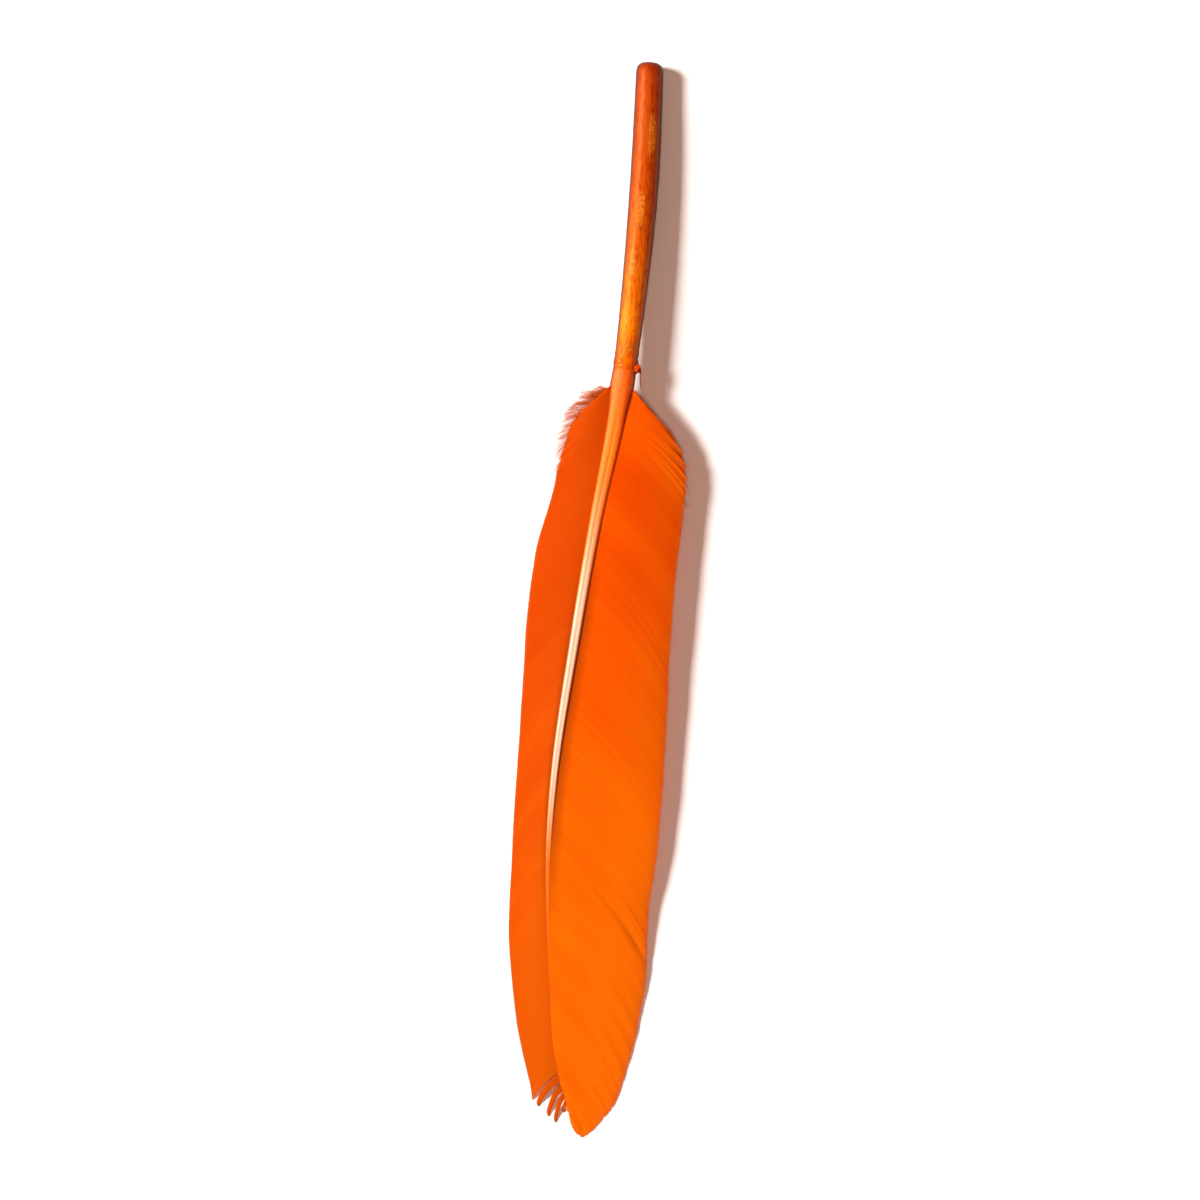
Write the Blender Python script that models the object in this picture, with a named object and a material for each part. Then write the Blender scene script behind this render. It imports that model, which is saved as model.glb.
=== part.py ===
"""A goose quill feather lying on a flat surface with its back up. Metres, +Z up, the surface is z = 0.

It runs along Y, quill end at +Y and tip at -Y, and bows to the left. The figures below are in
millimetres. Places along the feather are measured from the quill end, and places across it from the
middle of the quill end, right positive. Five grown pieces: the shaft, a vane of barbs on each side of
it, and at the foot of each vane its tuft of loose down.
"""

import math

import bmesh
import bpy
import numpy as np

MM = 0.001
LENGTH = 175.0
QUILL_X = 1.9  # the quill end lies this far right of the middle of the feather's box
GAP = 0.3  # left between pieces that are grown together

# Shaft: along, across, height of its middle, width, depth.
SHAFT_STATIONS = [
    (0.0, 0.0, 2.05, 4.4, 4.2),
    (20.0, 0.3, 2.70, 4.7, 4.5),
    (38.0, -0.2, 3.50, 4.2, 4.1),
    (50.0, -0.9, 4.05, 3.7, 3.8),
    (60.0, -1.9, 4.50, 3.1, 3.3),
    (75.0, -4.0, 5.05, 2.3, 2.8),
    (95.0, -6.2, 5.35, 1.9, 2.2),
    (118.0, -8.1, 4.85, 1.35, 1.6),
    (135.0, -8.0, 3.65, 0.9, 1.1),
    (150.0, -6.7, 2.35, 0.6, 0.75),
    (164.0, -4.7, 1.20, 0.42, 0.5),
    (171.0, -2.4, 0.70, 0.3, 0.34),
]
SHAFT_SIDES = 16
SHAFT_STEP = 3.0
DOME_LENGTH = 2.6  # the rounded quill end
DOME_RINGS = 5
PIT_RADIUS = 0.55  # the hole in the quill end, where the growing feather was fed
PIT_DEPTH = 2.2
KNOB_ALONG, KNOB_LENGTH, KNOB_RISE = 49.6, 1.5, 0.85  # the scar at the top of the bare quill
KNOB_SHARPNESS = 6
GROOVE_START, GROOVE_FULL = 50.0, 66.0  # the groove along the belly of the stem
GROOVE_DEPTH = 0.3  # as a share of half the shaft's depth

# Each row follows a barb: its root along the shaft, then its end across and along.
LEADING_ROWS = [
    (53.0, -4.6, 54.4),
    (54.5, -9.3, 58.2),
    (57.5, -10.8, 64.0),
    (62.0, -11.4, 70.5),
    (70.0, -13.0, 79.0),
    (80.0, -13.9, 89.0),
    (95.0, -14.0, 104.0),
    (120.0, -14.0, 129.0),
    (136.0, -13.6, 145.0),
    (146.0, -12.0, 155.0),
    (154.0, -10.4, 162.0),
    (162.0, -8.4, 169.4),
    (168.4, -4.3, 173.3),
]
TRAILING_ROWS = [
    (53.0, 1.1, 55.2),
    (54.5, 6.6, 60.4),
    (57.5, 9.7, 66.0),
    (62.0, 10.1, 72.0),
    (70.0, 9.6, 82.5),
    (80.0, 9.3, 95.0),
    (95.0, 9.6, 112.0),
    (110.0, 9.3, 128.5),
    (120.0, 8.6, 138.5),
    (132.0, 8.4, 149.5),
    (142.0, 7.2, 159.5),
    (152.0, 5.0, 167.8),
    (163.0, 2.0, 172.8),
    (171.6, -0.9, 175.0),
]
DOWN_END = 60.0  # the down's last barb roots here, and the vane's first one just past it
VANE_START = 60.5
TIP_ROOT = 171.6
SPLIT_ROOT = 168.4

# Height that each vane's free edge would hang at: along, height. The surface stops it at 0.
LEADING_EDGE = [(54.0, 3.4), (70.0, 2.7), (90.0, 1.9), (110.0, 0.9), (130.0, -0.8), (150.0, -1.8),
                (165.0, -1.2), (175.0, -0.2)]
TRAILING_EDGE = [(54.0, 3.7), (70.0, 3.3), (90.0, 2.9), (110.0, 2.1), (125.0, 0.8), (140.0, -1.0),
                 (155.0, -1.8), (168.0, -1.2), (175.0, -0.2)]
ROOT_HEIGHT = 0.15  # barbs root this share of the shaft's depth above its middle
CAMBER = 0.9  # the vane's rise above a straight line from root to edge, at its middle
VANE_THICKNESS = 0.45
VANE_TAPER = 0.35  # share of the thickness lost from root to edge
VANE_ROWS, VANE_COLUMNS = 44, 9
DOWN_THICKNESS = 2.4
DOWN_ROWS, DOWN_COLUMNS = 10, 7
DOWN_EDGE_SHARE = 0.2  # of the tuft's thickness, at its edges
DOWN_SAG = 0.8  # how far its middle hangs below the vane's line

KERATIN = (0.62, 0.13, 0.012)
VANE_ORANGE = (0.86, 0.13, 0.004)
DOWN_ORANGE = (0.80, 0.16, 0.012)


def smooth(stations, at):
    """Values at a place along the smooth curve through (place, value, ...) stations."""
    knots = np.array([station[0] for station in stations])
    values = np.array([station[1:] for station in stations])
    slopes = np.gradient(values, knots, axis=0)
    at = np.clip(at, knots[0], knots[-1])
    i = min(np.searchsorted(knots, at, side="right") - 1, len(knots) - 2)
    span = knots[i + 1] - knots[i]
    t = (at - knots[i]) / span
    from_value = (1 + 2 * t) * (1 - t) ** 2 * values[i] + t * (1 - t) ** 2 * span * slopes[i]
    to_value = t * t * (3 - 2 * t) * values[i + 1] - t * t * (1 - t) * span * slopes[i + 1]
    return from_value + to_value


def place(across, along, height):
    return ((across + QUILL_X) * MM, (LENGTH / 2 - along) * MM, height * MM)


def new_object(name, bm, material):
    mesh = bpy.data.meshes.new(name)
    bm.to_mesh(mesh)
    bm.free()
    obj = bpy.data.objects.new(name, mesh)
    bpy.context.collection.objects.link(obj)
    mesh.materials.append(material)
    mesh.shade_smooth()
    return obj


def principled(name, color, roughness):
    material = bpy.data.materials.new(name)
    material.use_nodes = True
    shader = material.node_tree.nodes["Principled BSDF"]
    shader.inputs["Base Color"].default_value = (*color, 1)
    shader.inputs["Roughness"].default_value = roughness
    shader.inputs["Metallic"].default_value = 0
    return material


def shaft_ring(along, share):
    """One cross-section of the shaft, `share` of its full size, from the right side round over the top."""
    across, middle, width, depth = smooth(SHAFT_STATIONS, along)
    groove = GROOVE_DEPTH * np.clip((along - GROOVE_START) / (GROOVE_FULL - GROOVE_START), 0, 1)
    knob = KNOB_RISE * math.exp(-(((along - KNOB_ALONG) / KNOB_LENGTH) ** 2))
    ring = []
    for side in range(SHAFT_SIDES):
        angle = 2 * math.pi * side / SHAFT_SIDES
        out, up = math.cos(angle), math.sin(angle)
        bump = knob * max(out, 0) ** KNOB_SHARPNESS
        if side == 3 * SHAFT_SIDES // 4:
            up += groove
        ring.append((across + share * out * width / 2 + bump, along, middle + share * up * depth / 2))
    return ring


def pit_ring(radius, along):
    _, middle, _, _ = smooth(SHAFT_STATIONS, 0)
    turn = 2 * math.pi / SHAFT_SIDES
    return [
        (radius * math.cos(turn * side), along, middle + radius * math.sin(turn * side))
        for side in range(SHAFT_SIDES)
    ]


def make_shaft(material):
    """Pit, dome, bare quill and stem as one run of cross-sections."""
    rings = [pit_ring(PIT_RADIUS / 3, PIT_DEPTH), pit_ring(PIT_RADIUS, 0)]
    for step in range(1, DOME_RINGS + 1):
        turn = math.pi / 2 * step / DOME_RINGS
        rings.append(shaft_ring(DOME_LENGTH * (1 - math.cos(turn)), math.sin(turn)))
    end = SHAFT_STATIONS[-1][0]
    count = math.ceil((end - DOME_LENGTH) / SHAFT_STEP)
    for along in np.linspace(DOME_LENGTH, end, count + 1)[1:]:
        rings.append(shaft_ring(along, 1))
    bm = bmesh.new()
    loops = [[bm.verts.new(place(*point)) for point in ring] for ring in rings]
    for first, second in zip(loops, loops[1:]):
        for side in range(SHAFT_SIDES):
            after = (side + 1) % SHAFT_SIDES
            bm.faces.new((first[side], first[after], second[after], second[side]))
    bm.faces.new(loops[0])
    bm.faces.new(loops[-1])
    bmesh.ops.recalc_face_normals(bm, faces=bm.faces)
    return new_object("shaft", bm, material)


def vane_point(rows, edge_heights, side, root, share):
    """A point of a vane's underside, `share` of the way along the barb that roots at `root`."""
    shaft_across, middle, width, depth = smooth(SHAFT_STATIONS, root)
    edge_across, edge_along = smooth(rows, root)
    inner = np.array([shaft_across + side * (width / 2 + GAP), root])
    across, along = inner + share * (np.array([edge_across, edge_along]) - inner)
    (edge_height,) = smooth(edge_heights, edge_along)
    root_height = middle + ROOT_HEIGHT * depth
    height = root_height + share * (edge_height - root_height) + 4 * CAMBER * share * (1 - share)
    return across, along, height


def make_sheet(name, points, thickness, shares, material):
    """A closed sheet standing on a grid of underside points, its thickness shared out by `shares`."""
    bm = bmesh.new()
    grid = [[bm.verts.new(place(x, y, max(z, 0))) for x, y, z in row] for row in points]
    for row, after in zip(grid, grid[1:]):
        for k in range(len(row) - 1):
            bm.faces.new((row[k], row[k + 1], after[k + 1], after[k]))
    bm.normal_update()
    if sum(face.normal.z for face in bm.faces) < 0:
        bmesh.ops.reverse_faces(bm, faces=bm.faces)
    sheet = new_object(name, bm, material)
    group = sheet.vertex_groups.new(name="thickness")
    for index, share in enumerate(np.ravel(shares)):
        group.add([index], share, "REPLACE")
    solidify = sheet.modifiers.new("Thickness", "SOLIDIFY")
    solidify.thickness = thickness * MM
    solidify.offset = 1
    solidify.vertex_group = group.name
    return sheet


def make_vane(name, rows, edge_heights, side, last_root, material):
    roots = np.linspace(VANE_START, last_root, VANE_ROWS)
    columns = np.linspace(0, 1, VANE_COLUMNS)
    points = [[vane_point(rows, edge_heights, side, root, u) for u in columns] for root in roots]
    shares = [1 - VANE_TAPER * columns for _ in roots]
    return make_sheet(name, points, VANE_THICKNESS, shares, material)


def make_down(name, rows, edge_heights, side, material):
    """A tuft, fullest in its middle, where it also sags most."""
    roots = np.linspace(rows[0][0], DOWN_END, DOWN_ROWS)
    columns = np.linspace(0, 1, DOWN_COLUMNS)
    points, shares = [], []
    for root in roots:
        round_row = math.sin(math.pi * (root - roots[0]) / (roots[-1] - roots[0]))
        fullness = [round_row * math.sin(math.pi * u) for u in columns]
        row = [vane_point(rows, edge_heights, side, root, u) for u in columns]
        points.append([(x, y, z - f * DOWN_SAG) for (x, y, z), f in zip(row, fullness)])
        shares.append([DOWN_EDGE_SHARE + (1 - DOWN_EDGE_SHARE) * f for f in fullness])
    return make_sheet(name, points, DOWN_THICKNESS, shares, material)


for old in list(bpy.data.objects):
    bpy.data.objects.remove(old)

keratin = principled("dyed keratin", KERATIN, 0.3)
vane_orange = principled("dyed vane", VANE_ORANGE, 0.7)
down_orange = principled("dyed down", DOWN_ORANGE, 0.9)

make_shaft(keratin)
make_vane("leading_vane", LEADING_ROWS, LEADING_EDGE, -1, SPLIT_ROOT, vane_orange)
make_vane("trailing_vane", TRAILING_ROWS, TRAILING_EDGE, 1, TIP_ROOT, vane_orange)
make_down("leading_down", LEADING_ROWS, LEADING_EDGE, -1, down_orange)
make_down("trailing_down", TRAILING_ROWS, TRAILING_EDGE, 1, down_orange)
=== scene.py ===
import math

import bmesh
import bpy
import numpy as np
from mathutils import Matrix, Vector


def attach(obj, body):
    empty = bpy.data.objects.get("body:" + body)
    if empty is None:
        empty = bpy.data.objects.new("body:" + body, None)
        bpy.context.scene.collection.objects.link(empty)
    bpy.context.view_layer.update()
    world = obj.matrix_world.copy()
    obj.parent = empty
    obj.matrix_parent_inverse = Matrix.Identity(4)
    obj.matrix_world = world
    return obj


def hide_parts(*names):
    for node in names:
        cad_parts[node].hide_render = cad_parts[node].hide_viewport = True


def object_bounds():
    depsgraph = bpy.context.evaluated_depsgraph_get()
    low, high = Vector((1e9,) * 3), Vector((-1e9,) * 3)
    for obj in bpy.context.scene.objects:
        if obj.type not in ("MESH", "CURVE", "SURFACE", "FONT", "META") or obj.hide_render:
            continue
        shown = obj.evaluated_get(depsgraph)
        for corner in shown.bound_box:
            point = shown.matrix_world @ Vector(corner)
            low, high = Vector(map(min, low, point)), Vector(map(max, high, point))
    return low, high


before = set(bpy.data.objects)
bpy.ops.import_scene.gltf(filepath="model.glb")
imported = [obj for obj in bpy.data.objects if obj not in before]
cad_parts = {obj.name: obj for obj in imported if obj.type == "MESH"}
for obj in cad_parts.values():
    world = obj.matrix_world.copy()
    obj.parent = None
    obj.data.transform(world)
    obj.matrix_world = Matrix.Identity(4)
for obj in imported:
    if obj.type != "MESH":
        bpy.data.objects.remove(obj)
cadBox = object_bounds()
bpy.ops.object.select_all(action="DESELECT")

# The feather lies along Y on the surface z = 0, back up, quill end at +Y and tip at -Y.
# Figures below are in millimetres. Places along it are counted from the quill end, and
# places across it from the middle of the quill end, right positive.
mm = 0.001
quillEnd = cadBox[1].y / mm
quillMiddle = 1.9  # the quill end lies this far right of the middle of the box


def toFrame(across, along, height):
    # feather places in mm to the frame's metres
    return np.stack(np.broadcast_arrays(across + quillMiddle, quillEnd - along, height), axis=-1) * mm


def smooth(stations, at):
    # smooth curve through (place, value, ...) stations, read at one or many places
    knots = np.array([row[0] for row in stations], float)
    values = np.array([row[1:] for row in stations], float)
    slopes = np.gradient(values, knots, axis=0)
    at = np.clip(np.asarray(at, float), knots[0], knots[-1])
    i = np.clip(np.searchsorted(knots, at, side="right") - 1, 0, len(knots) - 2)
    span = (knots[i + 1] - knots[i])[..., None]
    t = (at - knots[i])[..., None] / span
    start = (1 + 2 * t) * (1 - t) ** 2 * values[i] + t * (1 - t) ** 2 * span * slopes[i]
    end = t * t * (3 - 2 * t) * values[i + 1] - t * t * (1 - t) * span * slopes[i + 1]
    return np.moveaxis(start + end, -1, 0)


def ramp(low, high, at):
    # 0 below low, 1 above high, and an even swing between
    t = np.clip((at - low) / (high - low), 0, 1)
    return t * t * (3 - 2 * t)


def stretch(places, at):
    # 1 between the second and third place, 0 outside the first and last
    return ramp(places[0], places[1], at) * (1 - ramp(places[2], places[3], at))


def bell(middle, width, at):
    return np.exp(-(((at - middle) / width) ** 2))


def drift(rng, count, length):
    # slow random wander about zero, with unit spread
    kernel = np.exp(-0.5 * (np.arange(-3 * length, 3 * length + 1) / length) ** 2)
    slow = np.convolve(rng.normal(size=count + 6 * length), kernel, mode="valid")
    return slow / (slow.std() + 1e-9)


view = {
    "lens": 100,
    "height": 0.545,
    "roll": 3.7,  # degrees: the feather leans, tip to the left
    "aim": (-0.0006, -0.0004),
}


def makeCamera():
    roll = math.radians(view["roll"])
    bpy.ops.object.camera_add(location=(*view["aim"], view["height"]), rotation=(0, 0, roll))
    camera = bpy.context.object
    camera.name = "camera"
    camera.data.lens = view["lens"]
    camera.data.clip_start = 0.01
    bpy.context.scene.camera = camera


# A low softbox on the left throws the shadow to the right. The one overhead stands towards
# the tip, where it is mirrored in the stem between the vanes and not in the bare quill.
lights = [
    {"name": "key_softbox", "place": (-0.95, 0.20, 0.74), "size": (0.30, 0.30), "watts": 30.0,
     "color": (1.0, 1.0, 1.0)},
    {"name": "overhead_softbox", "place": (0.004, -0.088, 0.75), "size": (0.12, 0.18), "watts": 1.5,
     "color": (1.0, 0.62, 0.47)},
]
whiteRoom = {"color": (1.0, 0.56, 0.44, 1), "strength": 0.20}  # warm, as the light in the shadow is


def makeLights():
    for light in lights:
        bpy.ops.object.light_add(type="AREA", location=light["place"])
        lamp = bpy.context.object
        lamp.name = light["name"]
        lamp.data.shape = "RECTANGLE"
        lamp.data.size, lamp.data.size_y = light["size"]
        lamp.data.energy = light["watts"]
        lamp.data.color = light["color"]
        toFeather = Vector((0, light["place"][1] * 0.5, 0)) - Vector(light["place"])
        lamp.rotation_euler = toFeather.to_track_quat("-Z", "Y").to_euler()
    world = bpy.data.worlds.new("white_room")
    world.use_nodes = True
    world.node_tree.nodes["Background"].inputs["Color"].default_value = whiteRoom["color"]
    world.node_tree.nodes["Background"].inputs["Strength"].default_value = whiteRoom["strength"]
    bpy.context.scene.world = world
    # dye this strong greys out under the default film look
    bpy.context.scene.view_settings.view_transform = "Standard"


def hexColor(text):
    # sRGB hex to Blender's linear colour
    parts = [int(text[i:i + 2], 16) / 255 for i in (1, 3, 5)]
    return [c / 12.92 if c <= 0.04045 else ((c + 0.055) / 1.055) ** 2.4 for c in parts] + [1]


def addNode(tree, kind, settings=None, inputs=None):
    # one node: its settings, then its sockets, each linked to a socket or set to a value
    node = tree.nodes.new("ShaderNode" + kind)
    for key, value in (settings or {}).items():
        setattr(node, key, value)
    for key, value in (inputs or {}).items():
        if isinstance(value, bpy.types.NodeSocket):
            tree.links.new(value, node.inputs[key])
        else:
            node.inputs[key].default_value = value
    return node


def colorSteps(node, stops):
    # sets a colour ramp's (place, hex colour) stops and gives its colour socket
    for place, color in stops[1:-1]:
        node.color_ramp.elements.new(place)
    for element, (place, color) in zip(node.color_ramp.elements, stops):
        element.position = place
        element.color = hexColor(color)
    return node.outputs["Color"]


def newMaterial(name):
    material = bpy.data.materials.new(name)
    material.use_nodes = True
    material.node_tree.nodes.clear()
    return material, material.node_tree


# Dyed keratin: a goose quill is a horn-like tube. The dye lies in streaks along its fibres and
# is darker at its end; painted shade darkens its flanks and belly. Dry sheath dulls the bare quill; the
# stem is glossy.
quillLook = {
    "name": "dyed_quill_keratin",
    "along": [  # share of the feather's length from the quill end, colour there
        (0.0, "#842C08"), (0.015, "#AC420C"), (0.06, "#B04808"), (0.13, "#B64C04"), (0.20, "#CE680A"),
        (0.25, "#E67E0C"), (0.272, "#E06808"), (0.29, "#E05E06")],
    "streakWidth": 0.34, "streakLength": 9.0,  # mm
    "fleck": 0.55,  # mm, golden flecks where the dye took less
    "streaks": [(0.34, "#E09058"), (0.50, "#FFFFFF"), (0.70, "#FFF4B8")],
    "flecks": [(0.36, "#E8A878"), (0.50, "#FFFFFF"), (0.66, "#FFF2B0")],
    "strength": 0.8, "relief": 0.45,
    "roughness": (0.38, 0.30),  # away from the crown, and on it
    "gloss": 0.16, "specular": "#FFB070",
}
stemLook = {
    "name": "dyed_stem_keratin",
    "along": [
        (0.28, "#E86004"), (0.31, "#F26600"), (0.35, "#FF7200"), (0.45, "#FC7C12"), (0.68, "#FA7A14"),
        (0.76, "#F86E08"), (1.0, "#FA6804")],
    "streakWidth": 0.16, "streakLength": 8.0,
    "fleck": 0.40,
    "streaks": [(0.34, "#E08A50"), (0.48, "#FFFFFF"), (0.70, "#FFF6D8")],
    "flecks": [(0.30, "#F0C0A0"), (0.50, "#FFFFFF"), (0.70, "#FFFFF0")],
    "strength": 0.5, "relief": 0.15,
    "roughness": (0.60, 0.22), "gloss": 0.34, "specular": "#FFE4CC",
}
# the scar held more dye than the quill round it
scarLook = {
    **quillLook,
    "name": "dyed_scar_keratin",
    "along": [(0.0, "#C83E08"), (0.28, "#CC4208"), (1.0, "#D04A0C")],
}
hornLook = {  # what quill, stem and scar share
    "fibre": 0.16, "fibreStretch": 0.04,  # mm, fine lines along the horn, each 25 times as long as wide
    "depth": 0.06,  # mm, how deep they look
    # painted highlight on the stem's back halfway along, and painted shade in its furrow and along its
    # edges: colour, most of it
    "crownHighlight": ("#EAC8AC", 0.9), "furrow": ("#9C5428", 0.7),
    # painted shade: flanks and belly darker than the back: how far up the skin faces, tint there
    "flankShade": [(0.42, "#4A1C0A"), (0.74, "#FFFFFF")], "flankShadeShare": 0.85,
}


def keratinMaterial(look):
    material, tree = newMaterial(look["name"])
    coords = addNode(tree, "TexCoord").outputs
    place = coords["Object"]
    wide = 1 / (look["streakWidth"] * mm)
    streakPlace = addNode(tree, "Mapping", inputs={
        "Vector": place, "Scale": (wide, 1 / (look["streakLength"] * mm), wide)})
    streaks = addNode(tree, "TexNoise", inputs={
        "Vector": streakPlace.outputs["Vector"], "Scale": 1.0, "Detail": 4.0, "Roughness": 0.6})
    fleckPlace = addNode(tree, "Mapping", inputs={"Vector": place, "Scale": (1, 0.4, 1)})
    flecks = addNode(tree, "TexNoise", inputs={
        "Vector": fleckPlace.outputs["Vector"], "Scale": 1 / (look["fleck"] * mm), "Detail": 3.0})
    along = addNode(tree, "SeparateXYZ", inputs={"Vector": place})
    share = addNode(tree, "MapRange", inputs={
        "Value": along.outputs["Y"], "From Min": quillEnd * mm, "From Max": -quillEnd * mm})
    color = colorSteps(addNode(tree, "ValToRGB", inputs={"Fac": share.outputs["Result"]}), look["along"])
    for pattern, tint in ((streaks, look["streaks"]), (flecks, look["flecks"])):
        tinted = colorSteps(addNode(tree, "ValToRGB", inputs={"Fac": pattern.outputs["Fac"]}), tint)
        color = addNode(tree, "Mix", {"data_type": "RGBA", "blend_type": "MULTIPLY"}, {
            "Factor": look["strength"], 6: color, 7: tinted}).outputs[2]
    # painted highlight on the stem's back, painted shade in its furrow and along its edges
    for name in ("crownHighlight", "furrow"):
        tint, most = hornLook[name]
        part = addNode(tree, "Attribute", {"attribute_name": name}).outputs["Fac"]
        factor = addNode(tree, "Math", {"operation": "MULTIPLY"}, {0: part, 1: most})
        color = addNode(tree, "Mix", {"data_type": "RGBA"}, {
            "Factor": factor.outputs["Value"], 6: color, 7: hexColor(tint)}).outputs[2]
    # painted shade: skin that faces sideways or down is darkened
    facing = addNode(tree, "SeparateXYZ", inputs={"Vector": coords["Normal"]})
    flankShadeSteps = addNode(tree, "ValToRGB", inputs={"Fac": facing.outputs["Z"]})
    flankShade = colorSteps(flankShadeSteps, hornLook["flankShade"])
    color = addNode(tree, "Mix", {"data_type": "RGBA", "blend_type": "MULTIPLY"}, {
        "Factor": hornLook["flankShadeShare"], 6: color, 7: flankShade}).outputs[2]
    fibrePlace = addNode(tree, "Mapping", inputs={
        "Vector": place, "Scale": (1, hornLook["fibreStretch"], 1)})
    fibres = addNode(tree, "TexNoise", inputs={
        "Vector": fibrePlace.outputs["Vector"], "Scale": 1 / (hornLook["fibre"] * mm), "Detail": 2.0})
    relief = addNode(tree, "Math", {"operation": "ADD"}, {
        0: fibres.outputs["Fac"], 1: flecks.outputs["Fac"]})
    bump = addNode(tree, "Bump", inputs={
        "Height": relief.outputs["Value"], "Strength": look["relief"], "Distance": hornLook["depth"] * mm})
    crownHighlight = addNode(tree, "Attribute", {"attribute_name": "crownHighlight"}).outputs["Fac"]
    rough = addNode(tree, "MapRange", inputs={
        "Value": crownHighlight, "To Min": look["roughness"][0], "To Max": look["roughness"][1]})
    shader = addNode(tree, "BsdfPrincipled", inputs={
        "Base Color": color, "Normal": bump.outputs["Normal"], "IOR": 1.55,
        "Specular Tint": hexColor(look["specular"]), "Specular IOR Level": look["gloss"],
        "Roughness": rough.outputs["Result"], "Subsurface Weight": 0.1, "Subsurface Scale": 0.8 * mm,
        "Subsurface Radius": (1.0, 0.3, 0.06)})
    addNode(tree, "OutputMaterial", inputs={"Surface": shader.outputs["BSDF"]})
    return material


# Dyed feather vane: a web of barbs, matt with the least satin along them, and thin enough to
# glow when light comes through. Each barb took the dye a little differently.
vaneLook = {
    "barbule": 0.22,  # mm between barbule lines; the real ones are 0.03 mm apart, too fine to show
    "cloud": 16.0,  # mm, wide uneven dye
    "throughLight": 0.40,
    "seamShade": ("#A83C08", 0.7),  # painted shade where the barbs leave the stem: colour, most of it
}


def vaneMaterial(name, deep, body, pale, rim):
    material, tree = newMaterial(name)
    place = addNode(tree, "TexCoord").outputs["Object"]
    tone = addNode(tree, "Attribute", {"attribute_name": "tone"}).outputs["Fac"]
    rimShare = addNode(tree, "Attribute", {"attribute_name": "rim"}).outputs["Fac"]
    clouds = addNode(tree, "TexNoise", inputs={
        "Vector": place, "Scale": 1 / (vaneLook["cloud"] * mm), "Detail": 3.0})
    cloudTone = addNode(tree, "MapRange", inputs={
        "Value": clouds.outputs["Fac"], "To Min": -0.15, "To Max": 0.15})
    shade = addNode(tree, "Math", {"operation": "ADD"}, {0: cloudTone.outputs["Result"], 1: tone})
    base = colorSteps(addNode(tree, "ValToRGB", inputs={"Fac": shade.outputs["Value"]}), [
        (0.1, deep), (0.5, body), (0.9, pale)])
    color = addNode(tree, "Mix", {"data_type": "RGBA"}, {"Factor": rimShare, 6: base, 7: hexColor(rim)})
    # painted shade along the stem's edges, where the barbs leave it
    seamColor, seamMost = vaneLook["seamShade"]
    seamShade = addNode(tree, "Attribute", {"attribute_name": "seamShade"}).outputs["Fac"]
    seamShare = addNode(tree, "Math", {"operation": "MULTIPLY"}, {0: seamShade, 1: seamMost})
    color = addNode(tree, "Mix", {"data_type": "RGBA"}, {
        "Factor": seamShare.outputs["Value"], 6: color.outputs[2], 7: hexColor(seamColor)})
    # barbules: fine lines set slantwise on both sides of each barb's stem
    barbMap = addNode(tree, "UVMap", {"uv_map": "barb"})
    barbUv = addNode(tree, "SeparateXYZ", inputs={"Vector": barbMap.outputs["UV"]})
    sideways = addNode(tree, "Math", {"operation": "ABSOLUTE"}, {0: barbUv.outputs["Y"]})
    slant = addNode(tree, "Math", {"operation": "MULTIPLY_ADD"}, {
        0: sideways.outputs["Value"], 1: -1.2, 2: barbUv.outputs["X"]})
    turns = addNode(tree, "Math", {"operation": "MULTIPLY"}, {
        0: slant.outputs["Value"], 1: 2 * math.pi / vaneLook["barbule"]})
    wave = addNode(tree, "Math", {"operation": "SINE"}, {0: turns.outputs["Value"]})
    bump = addNode(tree, "Bump", inputs={
        "Height": wave.outputs["Value"], "Strength": 0.25, "Distance": 0.02 * mm})
    skin = addNode(tree, "BsdfPrincipled", inputs={
        "Base Color": color.outputs[2], "Normal": bump.outputs["Normal"], "Roughness": 0.6, "IOR": 1.5,
        "Specular IOR Level": 0.12, "Specular Tint": hexColor("#FFB060")})
    glow = addNode(tree, "BsdfTranslucent", inputs={"Color": color.outputs[2]})
    both = addNode(tree, "MixShader", inputs={
        0: vaneLook["throughLight"], 1: skin.outputs["BSDF"], 2: glow.outputs["BSDF"]})
    addNode(tree, "OutputMaterial", inputs={"Surface": both.outputs["Shader"]})
    return material


def downMaterial():
    # loose down: single fibres, paler and browner than the vane because each holds so little dye
    material, tree = newMaterial("dyed_down")
    tone = addNode(tree, "Attribute", {"attribute_name": "tone"}).outputs["Fac"]
    base = colorSteps(addNode(tree, "ValToRGB", inputs={"Fac": tone}), [
        (0.0, "#D86418"), (0.5, "#E87828"), (1.0, "#F49448")])
    skin = addNode(tree, "BsdfPrincipled", inputs={
        "Base Color": base, "Roughness": 0.7, "Specular IOR Level": 0.15})
    glow = addNode(tree, "BsdfTranslucent", inputs={"Color": base})
    both = addNode(tree, "MixShader", inputs={0: 0.35, 1: skin.outputs["BSDF"], 2: glow.outputs["BSDF"]})
    addNode(tree, "OutputMaterial", inputs={"Surface": both.outputs["Shader"]})
    return material


def sheathMaterial():
    # dried sheath: thin papery flakes of horn that stay on the quill, golden brown, see-through when lit
    material, tree = newMaterial("dry_quill_sheath")
    place = addNode(tree, "TexCoord").outputs["Object"]
    flecks = addNode(tree, "TexNoise", inputs={"Vector": place, "Scale": 1 / (0.4 * mm), "Detail": 3.0})
    base = colorSteps(addNode(tree, "ValToRGB", inputs={"Fac": flecks.outputs["Fac"]}), [
        (0.35, "#D0600C"), (0.5, "#E07814"), (0.65, "#F09030")])
    skin = addNode(tree, "BsdfPrincipled", inputs={
        "Base Color": base, "Roughness": 0.4, "IOR": 1.5, "Specular Tint": hexColor("#FFB070")})
    glow = addNode(tree, "BsdfTranslucent", inputs={"Color": base})
    both = addNode(tree, "MixShader", inputs={0: 0.4, 1: skin.outputs["BSDF"], 2: glow.outputs["BSDF"]})
    addNode(tree, "OutputMaterial", inputs={"Surface": both.outputs["Shader"]})
    return material


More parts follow.
